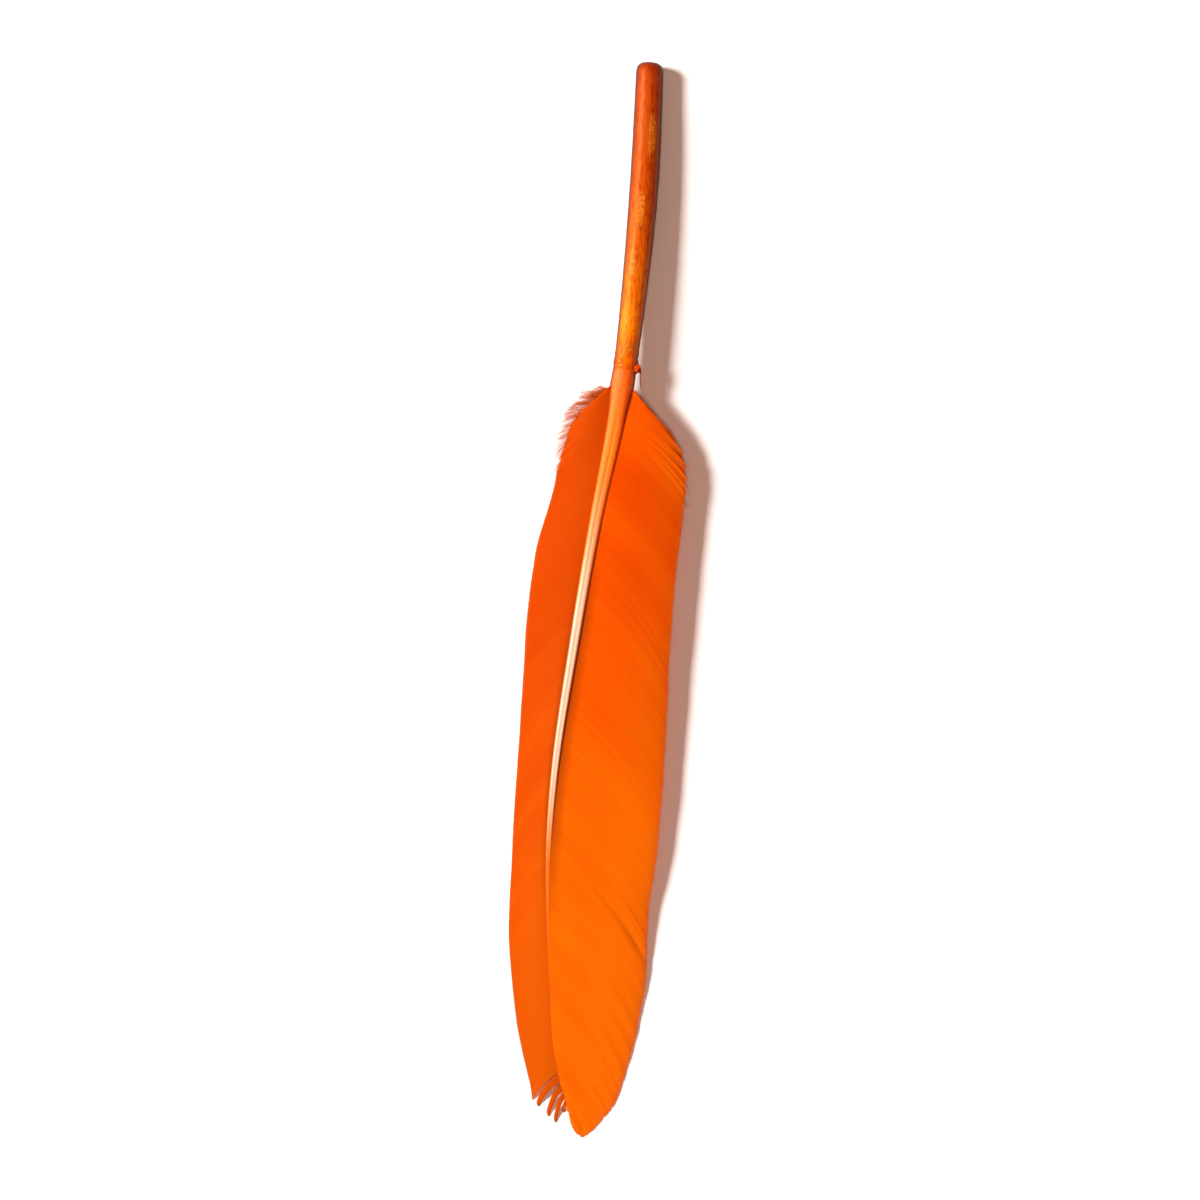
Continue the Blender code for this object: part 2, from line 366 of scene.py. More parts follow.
def bristleMaterial():
    # the bristle on the scar: dry horn soaked dark with dye, a fine dark line beside the stem
    material, tree = newMaterial("dark_bristle_horn")
    place = addNode(tree, "TexCoord").outputs["Object"]
    lumps = addNode(tree, "TexNoise", inputs={"Vector": place, "Scale": 1 / (0.35 * mm), "Detail": 3.0})
    base = colorSteps(addNode(tree, "ValToRGB", inputs={"Fac": lumps.outputs["Fac"]}), [
        (0.35, "#4E1804"), (0.5, "#7C2A08"), (0.65, "#A8420E")])
    shader = addNode(tree, "BsdfPrincipled", inputs={
        "Base Color": base, "Roughness": 0.35, "IOR": 1.5, "Specular Tint": hexColor("#FFB070")})
    addNode(tree, "OutputMaterial", inputs={"Surface": shader.outputs["BSDF"]})
    return material


def floorMaterial():
    # matt white paper board
    material, tree = newMaterial("white_board")
    place = addNode(tree, "TexCoord").outputs["Object"]
    grain = addNode(tree, "TexNoise", inputs={"Vector": place, "Scale": 1 / (0.8 * mm), "Detail": 2.0})
    bump = addNode(tree, "Bump", inputs={
        "Height": grain.outputs["Fac"], "Strength": 0.05, "Distance": 0.05 * mm})
    shader = addNode(tree, "BsdfPrincipled", inputs={
        "Base Color": hexColor("#F6F4F2"), "Normal": bump.outputs["Normal"], "Roughness": 0.9,
        "Specular IOR Level": 0.1})
    addNode(tree, "OutputMaterial", inputs={"Surface": shader.outputs["BSDF"]})
    return material


def makeFloor():
    bpy.ops.mesh.primitive_plane_add(size=3)
    floor = bpy.context.object
    floor.name = "floor"
    floor.data.materials.append(floorMaterial())


def readPoints(obj):
    points = np.empty(len(obj.data.vertices) * 3)
    obj.data.vertices.foreach_get("co", points)
    return points.reshape(-1, 3)


def writePoints(obj, points):
    obj.data.vertices.foreach_set("co", np.ascontiguousarray(points, np.float32).ravel())
    obj.data.update()


def writeShade(obj, name, values):
    # one number for each point, which a material reads by its name
    attribute = obj.data.attributes.new(name, "FLOAT", "POINT")
    attribute.data.foreach_set("value", np.ascontiguousarray(values, np.float32))


def pickFaces(obj, wanted):
    # in edit mode, selects the faces whose middle and normal are wanted
    bpy.ops.mesh.select_all(action="DESELECT")
    bpy.ops.mesh.select_mode(type="FACE")
    bm = bmesh.from_edit_mesh(obj.data)
    for face in bm.faces:
        face.select_set(bool(wanted(face.calc_center_median(), face.normal)))
    bmesh.update_edit_mesh(obj.data)


def makeBarRow(name, sides, segments, count):
    # one bar along X from 0 to 1, its long edges cut into segments, then arrayed along Y
    bpy.ops.mesh.primitive_cylinder_add(
        vertices=sides, radius=0.5, depth=1, location=(0.5, 0, 0), rotation=(0, math.pi / 2, 0))
    obj = bpy.context.object
    obj.name = name
    bpy.ops.object.transform_apply(location=True, rotation=True, scale=True)
    bpy.ops.object.mode_set(mode="EDIT")
    bpy.ops.mesh.select_all(action="DESELECT")
    bpy.ops.mesh.select_mode(type="EDGE")
    bm = bmesh.from_edit_mesh(obj.data)
    for edge in bm.edges:
        edge.select_set(abs(edge.verts[0].co.x - edge.verts[1].co.x) > 0.5)
    bmesh.update_edit_mesh(obj.data)
    bpy.ops.mesh.subdivide(number_cuts=segments - 1)
    bpy.ops.object.mode_set(mode="OBJECT")
    array = obj.modifiers.new("row", "ARRAY")
    array.count = count
    array.use_relative_offset = False
    array.use_constant_offset = True
    array.constant_offset_displace = (0, 2, 0)
    bpy.ops.object.modifier_apply(modifier="row")
    points = readPoints(obj)
    bar = np.rint(points[:, 1] / 2).astype(int)
    part = np.rint(points[:, 0] * segments).astype(int)
    return obj, bar, part, points[:, 1] - 2 * bar, points[:, 2]


def finishMesh(obj, material, angle):
    bpy.ops.object.mode_set(mode="EDIT")
    bpy.ops.mesh.select_all(action="SELECT")
    bpy.ops.mesh.normals_make_consistent(inside=False)
    bpy.ops.object.mode_set(mode="OBJECT")
    bpy.ops.object.shade_smooth_by_angle(angle=math.radians(angle))
    obj.data.materials.clear()
    obj.data.materials.append(material)


def placePiece(obj, node):
    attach(obj, "root")
    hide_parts(node)
    bpy.ops.object.select_all(action="DESELECT")
    print(obj.name, len(obj.data.polygons), "faces")


# shaft stations: along, across, height of its middle, width, depth
shaftStations = [
    (0.0, 0.0, 2.05, 4.4, 4.2), (20.0, 0.3, 2.70, 4.7, 4.5), (38.0, -0.2, 3.50, 4.2, 4.1),
    (50.0, -0.9, 4.05, 3.7, 3.8), (60.0, -1.9, 4.50, 3.1, 3.3), (75.0, -4.0, 5.05, 2.3, 2.8),
    (95.0, -6.2, 5.35, 1.9, 2.2), (118.0, -8.1, 4.85, 1.35, 1.6), (135.0, -8.0, 3.65, 0.9, 1.1),
    (150.0, -6.7, 2.35, 0.6, 0.75), (164.0, -4.7, 1.20, 0.42, 0.5), (171.0, -2.4, 0.70, 0.3, 0.34),
]
shaft = {
    "sides": 64,
    "step": 0.9, "fineStep": 0.3, "fineFrom": 45.5, "fineTo": 53.5,  # mm between rings, finer at the scar
    "domeLength": 1.5, "domeRings": 8, "domeBluntness": 0.6,  # 1 is round, less is blunter
    "pitRadius": 0.55, "pitDepth": 2.0, "pitLip": 0.05, "pitTaper": 0.3,  # the hole in the quill end
    "pointLength": 0.6, "pointShare": 0.3,  # the stem's last step, under the barbs of the tip
    "stemFrom": 50.0, "stemTo": 66.0,  # the round quill turns into the squarish stem
    "groove": 0.32, "furrow": 0.05,  # belly groove, fine line along the back: shares of half the depth
    "scarAlong": 49.9, "scarLength": 0.9, "scarRise": 0.2,  # where the quill ends
    "ringAlong": 49.1, "ringRise": 0.07,
    "flareAlong": 53.2, "flare": 0.13,  # it widens where the first barbs leave it
    "quillLength": 50.5,  # the dull quill ends and the glossy stem starts
    # where old sheath roughens the quill, and where painted shade darkens the furrow and edges: fades in,
    # fades out
    "sheathed": (2, 6, 49, 56), "darkFurrow": (82, 96, 114, 130),
}


def extrudeRing(previous, following):
    # pulls the selected ring on to the next station and sizes it there; a ring is (middle, width, depth)
    move = Vector(following[0]) - Vector(previous[0])
    bpy.ops.mesh.extrude_region_move(TRANSFORM_OT_translate={"value": move})
    bpy.ops.transform.resize(
        value=(following[1] / previous[1], 1, following[2] / previous[2]), center_override=following[0])


def makeShaft(quillMaterial, stemMaterial):
    rings = []
    for step in range(shaft["domeRings"] + 1):
        turn = math.pi / 2 * step / shaft["domeRings"]
        share = max(math.sin(turn) ** shaft["domeBluntness"], 2 * shaft["pitRadius"] / shaftStations[0][3])
        rings.append((shaft["domeLength"] * (1 - math.cos(turn)), share))
    end = shaftStations[-1][0]
    along = shaft["domeLength"]
    while along < end:
        fine = shaft["fineFrom"] < along < shaft["fineTo"]
        along = min(along + (shaft["fineStep"] if fine else shaft["step"]), end)
        rings.append((along, 1.0))
    rings.append((end + shaft["pointLength"], shaft["pointShare"]))
    placed = []
    for along, share in rings:
        across, height, width, depth = smooth(shaftStations, along)
        placed.append((tuple(toFrame(across, along, height)), width * share, depth * share))
    middle, width, depth = placed[0]
    bpy.ops.mesh.primitive_circle_add(
        vertices=shaft["sides"], radius=0.5 * mm, fill_type="NGON", location=middle,
        rotation=(math.pi / 2, 0, 0))
    obj = bpy.context.object
    obj.name = "shaft_horn"
    bpy.ops.object.transform_apply(location=True, rotation=True, scale=True)
    bpy.ops.object.mode_set(mode="EDIT")
    bpy.ops.mesh.select_all(action="SELECT")
    bpy.ops.transform.resize(value=(width, 1, depth), center_override=middle)
    for previous, following in zip(placed, placed[1:]):
        extrudeRing(previous, following)
    # the hole: the first face, at the quill end, pushed in
    bpy.ops.mesh.select_all(action="SELECT")
    bpy.ops.mesh.normals_make_consistent(inside=False)
    pickFaces(obj, lambda center, normal: center.y > placed[0][0][1] - 0.01 * mm)
    bpy.ops.mesh.inset(thickness=shaft["pitLip"] * mm)
    depthOfPit = shaft["pitDepth"] * mm
    bpy.ops.mesh.extrude_region_move(TRANSFORM_OT_translate={"value": (0, -depthOfPit, 0)})
    bottom = (middle[0], middle[1] - depthOfPit, middle[2])
    taper = shaft["pitTaper"]
    bpy.ops.transform.resize(value=(taper, 1, taper), center_override=bottom)
    bpy.ops.object.mode_set(mode="OBJECT")
    shapeShaft(obj)
    finishMesh(obj, quillMaterial, 50)
    obj.data.materials.append(stemMaterial)
    for face in obj.data.polygons:
        face.material_index = int(quillEnd - face.center.y / mm > shaft["quillLength"])
    return obj


def shapeShaft(obj):
    # squares the stem, cuts its groove and furrow, raises the scar and its ring, and roughens the quill
    points = readPoints(obj)
    along = quillEnd - points[:, 1] / mm
    across, height, width, depth = smooth(shaftStations, along)
    x = (points[:, 0] / mm - quillMiddle - across) / (width / 2)
    z = (points[:, 2] / mm - height) / (depth / 2)
    radius = np.hypot(x, z) + 1e-9
    angle = np.arctan2(z, x)
    inStem = ramp(shaft["stemFrom"], shaft["stemTo"], along)
    power = 2 + 0.9 * inStem
    square = (np.abs(x / radius) ** power + np.abs(z / radius) ** power) ** (-1 / power)
    x, z = x * square, z * square
    z += inStem * shaft["groove"] * bell(0, 0.33, x) * (z < 0)
    z -= inStem * shaft["furrow"] * bell(0, 0.13, x) * (z > 0)
    # low bumps and long ridges of old sheath on the bare quill
    bare = stretch(shaft["sheathed"], along)
    bumps = np.sin(along * 1.9 + 3 * angle) * np.sin(along * 0.83 - 2 * angle + 1)
    ridges = 0.5 * np.sin(9 * angle + 0.11 * along) + 0.5 * np.sin(14 * angle - 0.07 * along + 2)
    swell = 1 + bare * (0.008 * bumps + 0.006 * ridges)
    scar = bell(shaft["scarAlong"], shaft["scarLength"], along) * np.clip(x / radius, 0, 1) ** 5
    ringBumps = 0.6 + 0.4 * np.sin(7 * angle + 1) * np.sin(12 * angle)
    swell += shaft["ringRise"] * bell(shaft["ringAlong"], 0.4, along) * (1.2 - 0.4 * ringBumps)
    swell += 0.6 * shaft["ringRise"] * bell(shaft["ringAlong"] - 1.4, 0.5, along) * ringBumps
    flare = 1 + shaft["flare"] * bell(shaft["flareAlong"], 2.4, along)
    points[:, 0] = (across + quillMiddle + x * swell * flare * width / 2 + scar * shaft["scarRise"]) * mm
    points[:, 2] = np.maximum((height + z * swell * depth / 2) * mm, 0)
    writePoints(obj, points)
    # painted highlight: the stem's back, halfway along
    back = (z > 0) * (1 - ramp(0.50, 0.78, np.abs(x)))
    writeShade(obj, "crownHighlight", back * ramp(62, 96, along) ** 1.5 * (1 - ramp(114, 131, along)))
    # painted shade: a line down the middle of the back, and the edges of the back
    lines = np.maximum(0.7 * bell(0, 0.15, x), ramp(0.58, 0.74, np.abs(x)))
    writeShade(obj, "furrow", (z > 0) * lines * stretch(shaft["darkFurrow"], along))


bristle = {
    "segments": 9, "thickness": 0.42,
    "path": [  # share of its length, then across, along and height
        (0.0, 1.45, 49.8, 4.7), (0.35, 1.72, 51.0, 4.6), (0.7, 1.78, 52.2, 4.4), (1.0, 1.98, 53.5, 4.1)],
}
knob = {"place": (0.82, 50.1, 4.65), "size": (1.5, 1.5, 1.3), "lumps": 0.2}  # mm
sheath = {
    "thickness": 0.03,  # mm
    "scraps": [  # along, angle round the quill from the right side (degrees), length, width in degrees
        (46.9, 78, 1.8, 40), (49.3, 120, 1.5, 30), (24.5, 96, 5.5, 30), (12.0, 66, 6.0, 34),
        (33.0, 110, 5.0, 26)],
}


def makeBristle(material):
    # a stiff dark thread that curves down beside the stem from the scar
    obj, bar, part, y, z = makeBarRow("scar_bristle", 6, bristle["segments"], 1)
    share = part / bristle["segments"]
    across, along, height = smooth(bristle["path"], share)
    thin = bristle["thickness"] * (1 - 0.75 * share**1.5)
    writePoints(obj, toFrame(across + z * thin, along + y * thin * 0.3, height + y * thin))
    finishMesh(obj, material, 60)
    return obj


def makeKnob(material):
    # the lump of scar that the bristle grows from, pressed into the side of the quill
    bpy.ops.mesh.primitive_ico_sphere_add(subdivisions=5, radius=0.5)
    obj = bpy.context.object
    obj.name = "scar_knob"
    points = readPoints(obj)
    lumps = np.sin(11 * points[:, 0] + 1) * np.sin(9 * points[:, 1]) * np.sin(10 * points[:, 2] + 2)
    boxy = (np.abs(points / 0.5) ** 3).sum(axis=1) ** (-1 / 3)
    points *= (boxy * (1 + knob["lumps"] * lumps))[:, None]
    across, along, height = (np.array(knob["place"]) + points * knob["size"] * (1, -1, 1)).T
    writePoints(obj, toFrame(across, along, height))
    finishMesh(obj, material, 60)
    return obj


def makeSheath(material):
    # thin curled flakes on the quill's skin, each a grid wrapped round it, with ragged ends
    rng = np.random.default_rng(5)
    for number, (place, angle, length, spread) in enumerate(sheath["scraps"]):
        bpy.ops.mesh.primitive_grid_add(x_subdivisions=9, y_subdivisions=12, size=1)
        obj = bpy.context.object
        points = readPoints(obj)
        u, v = points[:, 0] * 2, points[:, 1] * 2
        ragged = 0.25 * np.sin(9 * u + number * 2.1) + 0.12 * np.sin(23 * u + number)
        along = place + v * (1 + ragged * np.abs(v)) * length / 2
        narrow = 1 - 0.45 * np.abs(v) ** 3
        turn = np.radians(angle + u * narrow * spread / 2)
        across, height, width, depth = smooth(shaftStations, along)
        lifted = 1.010 + 0.03 * np.clip(v, 0, 1) ** 3 * rng.uniform(0.3, 1.0)
        writePoints(obj, toFrame(
            across + np.cos(turn) * lifted * width / 2, along, height + np.sin(turn) * lifted * depth / 2))
        bpy.ops.object.mode_set(mode="EDIT")
        bpy.ops.mesh.select_all(action="SELECT")
        bpy.ops.mesh.normals_make_consistent(inside=False)
        bpy.ops.object.mode_set(mode="OBJECT")
        solidify = obj.modifiers.new("thickness", "SOLIDIFY")
        solidify.thickness = sheath["thickness"] * mm
        solidify.offset = 0
        bpy.ops.object.modifier_apply(modifier="thickness")
        obj.name = f"sheath_scrap_{number + 1}"
        finishMesh(obj, material, 40)
        placePiece(obj, "shaft")


# Rows follow barbs: root along the shaft, then the barb's end across and along.
# The free edges would hang at edgeHeights (along, height), but the surface stops them.
# Fans are barbs torn loose or turned round the tip: how many, the roots of the first and the last,
# the line their ends lie on, how far they bend, and how much further their middle ones reach.
leadingVane = {
    "name": "leading_vane_barbs", "node": "leading_vane", "side": -1, "seed": 11, "loose": 0.4,
    "dye": {"deep": "#CC4400", "body": "#D44E02", "pale": "#DC5E04", "rim": "#C86420"},
    "outerPaintedLight": 0.06, "innerPaintedLight": 0.6,  # painted light: paler where the vane lies in shade, at its outer edge and beside the stem near the tip
    "roots": (60.2, 165.0), "footRoots": (53.0, 60.9),
    "rows": [
        (53.0, -4.2, 54.5), (54.5, -8.0, 58.2), (57.5, -10.1, 63.6), (62.0, -11.2, 70.4),
        (70.0, -13.2, 79.0), (80.0, -14.1, 89.0), (95.0, -14.2, 104.0), (120.0, -14.2, 129.0),
        (136.0, -13.7, 145.0), (146.0, -12.2, 155.0), (154.0, -10.6, 162.0), (162.0, -8.6, 168.8),
        (165.0, -8.3, 170.3)],
    "edgeHeights": [
        (54.0, 3.4), (70.0, 2.9), (90.0, 2.3), (110.0, 1.6), (130.0, 0.8), (150.0, 0.2),
        (165.0, 0.0), (175.0, 0.0)],
    "fans": [
        (16, (165.5, 166.9), [(-7.6, 170.4), (-7.05, 170.8)], 0.45, 0.5),
        (14, (167.2, 168.3), [(-5.85, 171.9), (-5.25, 172.3)], 0.60, 0.5),
        (12, (168.4, 169.4), [(-4.6, 172.9), (-4.05, 173.2)], 0.60, 0.5),
        (8, (169.6, 170.2), [(-3.3, 171.4), (-2.9, 171.7)], 0.40, 0.3)],
}
trailingVane = {
    "name": "trailing_vane_barbs", "node": "trailing_vane", "side": 1, "seed": 12, "loose": 0.4,
    "dye": {"deep": "#EC4E00", "body": "#F86602", "pale": "#FF8206", "rim": "#F07820"},
    "outerPaintedLight": 0.28, "innerPaintedLight": 0.0,
    "roots": (60.2, 171.4), "footRoots": (53.0, 60.9),
    "rows": [
        (53.0, 1.1, 55.2), (54.5, 7.0, 60.4), (57.5, 9.8, 65.6), (62.0, 10.1, 72.0),
        (70.0, 9.6, 82.5), (80.0, 9.4, 95.0), (95.0, 9.7, 112.0), (110.0, 9.5, 128.5),
        (120.0, 8.7, 138.5), (126.0, 8.8, 144.5), (132.0, 8.9, 150.0), (142.0, 7.7, 159.5),
        (152.0, 5.9, 168.0), (158.0, 4.9, 170.4), (163.0, 3.3, 172.6), (167.0, 1.9, 174.3),
        (169.2, 0.95, 175.2), (170.6, 0.35, 175.55), (171.4, -0.1, 175.65)],
    "edgeHeights": [
        (54.0, 3.7), (70.0, 3.7), (90.0, 3.5), (110.0, 3.1), (125.0, 2.5), (140.0, 1.5),
        (155.0, 0.4), (168.0, 0.0), (175.0, 0.0)],
    "fans": [
        (34, (171.4, 170.4), [
            (0.45, 175.45), (-0.55, 175.35), (-1.3, 174.5), (-1.75, 173.6), (-2.05, 172.6),
            (-2.35, 171.3)], 0.1, 0.0)],
    # a crease where barbs slipped past each other: its root, half width, and the depth of its fold
    "crease": (128.0, 1.3, 0.16),
}
barb = {
    "spacing": 0.36, "footSpacing": 0.15,  # mm between roots
    "segments": 12,
    "ridge": 0.05, "keel": 0.14,  # mm, the barb's own stem above and below its web
    "overlap": 1.35,  # web width as a share of the room between neighbours
    "widestWeb": 0.75,  # mm, as far as its hooks reach
    "bend": 0.30,  # barbs leave the shaft steeper than they end
    # along, root's place as a share of half the shaft's width, and as a share of its depth
    "rootPlaces": [
        (53.0, 0.95, 0.20), (60.0, 0.84, 0.30), (68.0, 0.74, 0.34), (78.0, 0.76, 0.32),
        (95.0, 0.79, 0.30), (115.0, 0.84, 0.30), (124.0, 0.76, 0.34), (133.0, 0.58, 0.44),
        (148.0, 0.28, 0.52), (172.0, 0.20, 0.52)],
    "camber": 0.7,  # mm, the vane's rise at its middle
    "lowest": 0.10, "settle": 0.12,  # mm, how low a barb lies, and how softly it bends on to the surface
    "tilt": 0.12,  # each barb's later edge lies over the next barb
    "seamShadeStretch": (76, 92, 118, 150),  # where the painted shade along the stem fades in and out
    # mm, long low waves across the vane, and its folds and steps, which the vane's looseness scales
    "rippleHeight": 0.12, "rippleLength": 6.1, "foldHeight": 0.07, "stepHeight": 0.035,
}
# closer together towards the barb's end
barbShares = 1 - (1 - np.linspace(0, 1, barb["segments"] + 1)) ** 1.35


def layPaths(vane, roots, edgeAcross, edgeAlong, bend):
    # the line of each barb as (barb, part, across/along/height)
    shaftAcross, shaftHeight, width, depth = (row[:, None] for row in smooth(shaftStations, roots))
    share = barbShares[None, :]
    rootShare, rootRise = (row[:, None] for row in smooth(barb["rootPlaces"], roots))
    inner = shaftAcross + vane["side"] * rootShare * width / 2
    # bend turns the barb towards the tip: its end runs more along the feather than its start
    sideways = (1 + 0.5 * bend) * share - 0.5 * bend * share**2
    onward = (1 - bend) * share + bend * share**2
    across = inner + (edgeAcross[:, None] - inner) * sideways
    along = roots[:, None] + (edgeAlong[:, None] - roots[:, None]) * onward
    (edgeHeight,) = smooth(vane["edgeHeights"], edgeAlong[:, None])
    rootHeight = shaftHeight + rootRise * depth
    camber = barb["camber"] * (1 - 0.6 * ramp(115, 160, roots[:, None]))
    height = rootHeight + share * (edgeHeight - rootHeight) + 4 * camber * share * (1 - share)
    return across, along, height


def measureWebs(vane, paths, outer=1.0):
    # each barb's sideways direction, and half the web's width towards the barb before and after;
    # outer is the share left on the free sides of the first and the last
    run = np.gradient(paths[..., :2], axis=1)
    run /= np.linalg.norm(run, axis=-1, keepdims=True)
    side = -vane["side"] * np.stack([run[..., 1], -run[..., 0]], axis=-1)
    room = np.abs(np.sum((paths[1:, :, :2] - paths[:-1, :, :2]) * side[:-1], axis=-1))
    half = np.minimum(room * barb["overlap"], barb["widestWeb"]) / 2
    before = np.maximum(np.vstack([half[:1] * outer, half]), 0.04)
    after = np.maximum(np.vstack([half, half[-1:] * outer]), 0.04)
    return side, before, after


def buildBarbs(name, vane, groups, material):
    # groups: (paths, side, before, after, tone) with one row for each barb
    paths, side, before, after, tone = (np.concatenate(part) for part in zip(*groups))
    obj, bar, part, y, z = makeBarRow(name, 4, barb["segments"], len(paths))
    center = paths[bar, part]
    share = barbShares[part]
    web = 2 * y * np.where(y > 0, after[bar, part], before[bar, part])
    plan = center[:, :2] + side[bar, part] * web[:, None]
    stem = np.where(z > 0, barb["ridge"], barb["keel"]) * z * 2 * (1 - 0.6 * share)
    height = center[:, 2] + stem + web * barb["tilt"]
    writePoints(obj, toFrame(plan[:, 0], plan[:, 1], np.maximum(height, 0.01)))
    # painted light: paler towards the outer edge, and beside the stem near the tip, where shade falls
    outer = vane["outerPaintedLight"] * ramp(0.3, 0.9, share)
    inner = vane["innerPaintedLight"] * (1 - share) * ramp(125, 155, center[:, 1])
    writeShade(obj, "tone", np.clip(tone[bar] + outer + inner, 0, 1))
    writeShade(obj, "rim", ramp(0.93, 1.0, share))
    # painted shade: where the barbs leave the stem
    alongStem = stretch(barb["seamShadeStretch"], center[:, 1])
    writeShade(obj, "seamShade", (1 - ramp(0.0, 0.05, share)) * alongStem)
    lengths = np.cumsum(np.linalg.norm(np.diff(paths, axis=1), axis=-1), axis=1)
    lengths = np.hstack([np.zeros((len(paths), 1)), lengths])
    writeUv(obj, np.stack([lengths[bar, part], web], axis=-1))
    finishMesh(obj, material, 30)
    return obj


def writeUv(obj, perPoint):
    # UVs in mm: along the barb, and across it from its stem
    layer = obj.data.uv_layers.new(name="barb")
    corners = np.empty(len(obj.data.loops), np.int64)
    obj.data.loops.foreach_get("vertex_index", corners)
    layer.data.foreach_set("uv", np.ascontiguousarray(perPoint[corners], np.float32).ravel())


def lift(height):
    # the surface carries what would hang below it, with no sharp bend where it first touches
    above = height - barb["lowest"]
    return barb["lowest"] + 0.5 * (above + np.sqrt(above**2 + barb["settle"]**2))


def makeVane(vane, material):
    rng = np.random.default_rng(vane["seed"])
    roots = np.arange(*vane["roots"], barb["spacing"])
    count = len(roots)
    edgeAcross, edgeAlong = smooth(vane["rows"], roots)
    # barbs end a little unevenly, and lean in loose groups
    shaftAcross = smooth(shaftStations, roots)[0]
    reach = 1 + 0.0015 * rng.normal(size=count) + 0.003 * drift(rng, count, 5)
    edgeAcross = shaftAcross + (edgeAcross - shaftAcross) * reach
    edgeAlong = edgeAlong + 0.05 * rng.normal(size=count) + 0.12 * drift(rng, count, 7)
    across, along, height = layPaths(vane, roots, edgeAcross, edgeAlong, barb["bend"])
    share = barbShares[None, :]
    # long low ripples across the vane, folds that follow the barbs near the tip, and small steps
    ripple = barb["rippleHeight"] * np.sin(along / barb["rippleLength"] + vane["seed"]) * share
    folds = barb["foldHeight"] * np.sin(roots / 0.62 + 0.9 * np.sin(roots / 3.7)) * ramp(112, 140, roots)
    steps = barb["stepHeight"] * drift(rng, count, 2) + 0.010 * rng.normal(size=count)
    height = height + ripple + (vane["loose"] * (folds + steps))[:, None] * ramp(0.1, 0.9, share)
    if "crease" in vane:
        root, width, depth = vane["crease"]
        fold = bell(root, width, roots) - 0.55 * bell(root + 2.2 * width, 1.4 * width, roots)
        reached = ramp(0.15, 0.55, share) * (1 - 0.8 * ramp(0.85, 1.0, share))
        height = height - depth * fold[:, None] * reached
    paths = np.stack([across, along, lift(height)], axis=-1)
    side, before, after = measureWebs(vane, paths)
    taper = (1 - 0.55 * ramp(0.955, 1.0, barbShares))[None, :]
    dye = 0.56 * (ramp(64, 135, roots) - 0.5)
    tone = np.clip(0.5 + dye + 0.03 * rng.normal(size=count) + 0.045 * drift(rng, count, 4), 0, 1)
    groups = [(paths, side, before * taper, after * taper, tone)]
    for barbs, (first, last), ends, bend, point in vane["fans"]:
        roots = np.linspace(first, last, barbs)
        spread = np.linspace(0, 1, barbs)
        stations = np.linspace(0, 1, len(ends))
        edgeAcross, edgeAlong = smooth([(place, *end) for place, end in zip(stations, ends)], spread)
        edgeAlong = edgeAlong + point * np.sqrt(4 * spread * (1 - spread))
        across, along, height = layPaths(vane, roots, edgeAcross, edgeAlong, bend)
        paths = np.stack([across, along, lift(height)], axis=-1)
        side, before, after = measureWebs(vane, paths, 0.6)
        tone = np.clip(0.75 + 0.04 * rng.normal(size=barbs), 0, 1)
        taper = (1 - 0.4 * ramp(0.7, 1.0, barbShares))[None, :]
        groups.append((paths, side, before * taper, after * taper, tone))
    return buildBarbs(vane["name"], vane, groups, material)


def makeFoot(vane, material):
    # the first barbs: closer together at the shaft, loose and ragged at their ends
    rng = np.random.default_rng(vane["seed"] + 20)
    roots = np.arange(*vane["footRoots"], barb["footSpacing"])
    count = len(roots)
    edgeAcross, edgeAlong = smooth(vane["rows"], roots)
    shaftAcross = smooth(shaftStations, roots)[0]
    reach = 1 + 0.012 * rng.normal(size=count)
    edgeAcross = shaftAcross + (edgeAcross - shaftAcross) * reach
    edgeAlong = edgeAlong + 0.06 * rng.normal(size=count)
    across, along, height = layPaths(vane, roots, edgeAcross, edgeAlong, barb["bend"])
    share = barbShares[None, :]
    height = height + 0.012 * rng.normal(size=count)[:, None] * share
    paths = np.stack([across, along, lift(height)], axis=-1)
    side, before, after = measureWebs(vane, paths)
    loose = (1 - 0.7 * ramp(0.92, 1.0, share)) * np.ones((count, 1))
    tone = np.clip(0.44 + 0.06 * rng.normal(size=count), 0, 1)
    groups = [(paths, side, before * loose, after * loose, tone)]
    return buildBarbs(vane["name"].replace("vane", "foot"), vane, groups, material)


# Ends are places that the wisps reach past the firm edge: share of the way round, across, along.
leadingDown = {
    "name": "leading_down_wisps", "node": "leading_down", "vane": leadingVane, "seed": 31, "wisps": 110,
    "roots": (53.3, 60.0),
    "ends": [
        (0.0, -4.8, 54.0), (0.25, -8.4, 56.0), (0.5, -10.4, 59.6), (0.75, -11.2, 64.0), (1.0, -11.6, 69.0)],
}
trailingDown = {
    "name": "trailing_down_wisps", "node": "trailing_down", "vane": trailingVane, "seed": 32, "wisps": 70,
    "roots": (53.4, 66.0),
    "ends": [(0.0, 1.3, 54.8), (0.2, 5.0, 58.8), (0.45, 9.2, 63.6), (0.7, 10.9, 69.5), (1.0, 10.6, 77.5)],
}
wisp = {
    "segments": 10, "thickness": 0.035,  # mm; the real thread is finer, too fine to show
    "barbules": 170, "barbuleParts": 3, "barbuleLength": 1.15, "barbuleThickness": 0.016,
    "barbulesFrom": 0.30, "barbulesOver": 0.68,  # shares of the thread, from its root
    "lean": (38, 18),  # degrees from the thread, and its spread
}


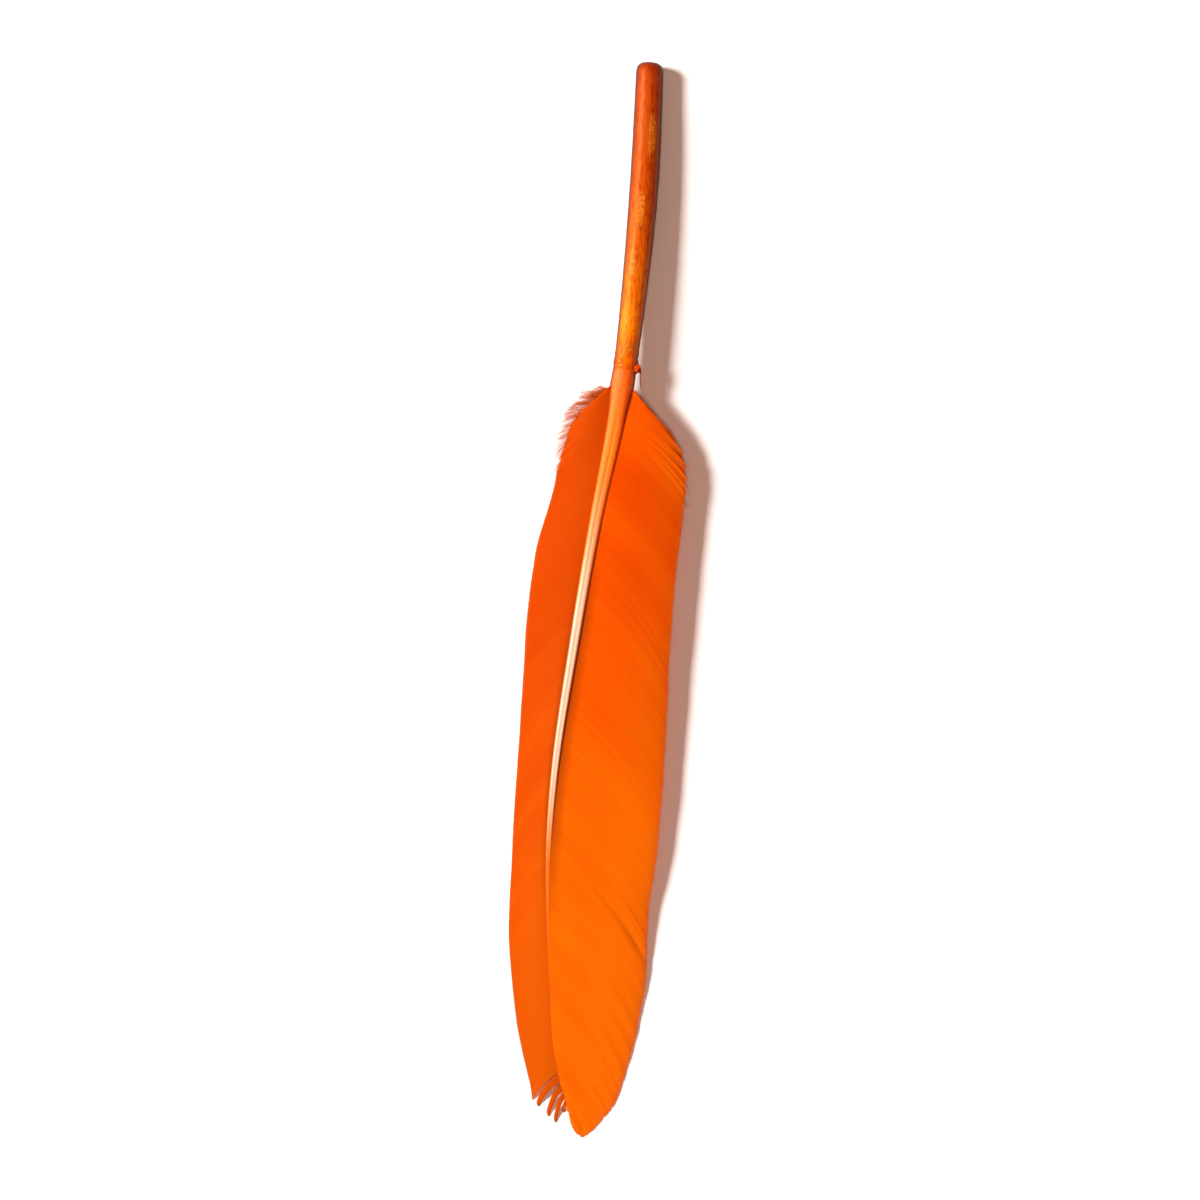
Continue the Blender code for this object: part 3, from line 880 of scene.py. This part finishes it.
def makeDown(down, material):
    rng = np.random.default_rng(down["seed"])
    vane = down["vane"]
    count = down["wisps"]
    place = np.linspace(0, 1, count)
    roots = down["roots"][0] + (down["roots"][1] - down["roots"][0]) * place + 0.3 * rng.normal(size=count)
    endAcross, endAlong = smooth(down["ends"], np.clip(place + 0.015 * rng.normal(size=count), 0, 1))
    shaftAcross, shaftHeight, width, depth = smooth(shaftStations, roots)
    short = rng.uniform(0.92, 1.04, size=count)
    endAcross = shaftAcross + (endAcross - shaftAcross) * short
    endAlong = roots + (endAlong - roots) * short
    share = np.linspace(0, 1, wisp["segments"] + 1)[None, :]
    curl = rng.normal(size=count)[:, None] * 0.3 - 0.4  # mostly back towards the quill
    inner = (shaftAcross + vane["side"] * 0.8 * width / 2)[:, None]
    wave = 0.22 * np.sin(share * 7 + rng.uniform(0, 6, size=count)[:, None]) * share
    across = inner + (endAcross[:, None] - inner) * share + 0.5 * wave
    along = roots[:, None] + (endAlong - roots)[:, None] * (0.45 * share + 0.55 * share**2)
    along = along + curl * 1.3 * ramp(0.55, 1.0, share) * share + wave
    (edgeHeight,) = smooth(vane["edgeHeights"], endAlong)
    start = (shaftHeight - 0.1 * depth)[:, None]
    end = (edgeHeight - 1.0 + 0.7 * rng.normal(size=count))[:, None]
    height = start + (end - start) * share + 1.6 * share * (1 - share)
    paths = np.stack([across, along, np.maximum(height, 0.25)], axis=-1)
    tone = np.clip(0.5 + 0.2 * rng.normal(size=count), 0, 1)

    # the threads
    obj, bar, part, y, z = makeBarRow(down["name"], 3, wisp["segments"], count)
    thin = wisp["thickness"] * (1 - 0.8 * part / wisp["segments"])
    center = paths[bar, part]
    writePoints(obj, toFrame(center[:, 0] + y * thin, center[:, 1] + y * thin, center[:, 2] + z * thin))
    writeShade(obj, "tone", tone[bar])

    # the barbules, in pairs along the outer two thirds of each thread
    each = wisp["barbules"]
    hair, owner, piece, hy, hz = makeBarRow(down["name"] + "_hair", 3, wisp["barbuleParts"], count * each)
    pairs = np.tile(np.repeat(np.linspace(0, 1, each // 2), 2), count)
    at = wisp["barbulesFrom"] + wisp["barbulesOver"] * pairs
    at = np.clip(at + 0.004 * rng.normal(size=count * each), 0, 0.999)
    thread = np.repeat(np.arange(count), each)
    step = at * wisp["segments"]
    low = step.astype(int)
    here = paths[thread, low] + (paths[thread, low + 1] - paths[thread, low]) * (step - low)[:, None]
    run = paths[thread, low + 1] - paths[thread, low]
    run /= np.linalg.norm(run, axis=-1, keepdims=True)
    sideways = np.stack([run[:, 1], -run[:, 0], 0 * run[:, 0]], axis=-1)
    sign = np.tile([1.0, -1.0], count * each // 2)[:, None]
    lean = np.radians(rng.normal(*wisp["lean"], size=count * each))[:, None]
    out = run * np.cos(lean) + sideways * sign * np.sin(lean)
    out[:, 2] += 0.35 * rng.normal(size=count * each)
    length = wisp["barbuleLength"] * (1.15 - 0.75 * at) * rng.uniform(0.6, 1.15, size=count * each)
    along01 = piece / wisp["barbuleParts"]
    grown = (along01 * length[owner])[:, None]
    turned = run[owner] * (0.25 * along01**2 * length[owner])[:, None]
    spine = here[owner] + out[owner] * grown + turned
    fine = wisp["barbuleThickness"] * (1 - 0.75 * along01)
    hairHeight = np.maximum(spine[:, 2] + hz * fine, 0.03)
    writePoints(hair, toFrame(spine[:, 0] + hy * fine, spine[:, 1] + hy * fine, hairHeight))
    writeShade(hair, "tone", np.clip(tone[thread][owner] + 0.15, 0, 1))

    obj.select_set(True)
    hair.select_set(True)
    bpy.context.view_layer.objects.active = obj
    bpy.ops.object.join()
    finishMesh(obj, material, 180)
    return obj


makeCamera()
makeLights()
makeFloor()
print("stage made")

placePiece(makeShaft(keratinMaterial(quillLook), keratinMaterial(stemLook)), "shaft")
placePiece(makeKnob(keratinMaterial(scarLook)), "shaft")
placePiece(makeBristle(bristleMaterial()), "shaft")
makeSheath(sheathMaterial())
print("shaft made")

leadingMaterial = vaneMaterial("dyed_leading_vane", **leadingVane["dye"])
trailingMaterial = vaneMaterial("dyed_trailing_vane", **trailingVane["dye"])
placePiece(makeVane(leadingVane, leadingMaterial), "leading_vane")
placePiece(makeVane(trailingVane, trailingMaterial), "trailing_vane")
print("vanes made")

placePiece(makeFoot(leadingVane, leadingMaterial), "leading_down")
placePiece(makeFoot(trailingVane, trailingMaterial), "trailing_down")
downLook = downMaterial()
for down in (leadingDown, trailingDown):
    placePiece(makeDown(down, downLook), down["node"])
print("down made")
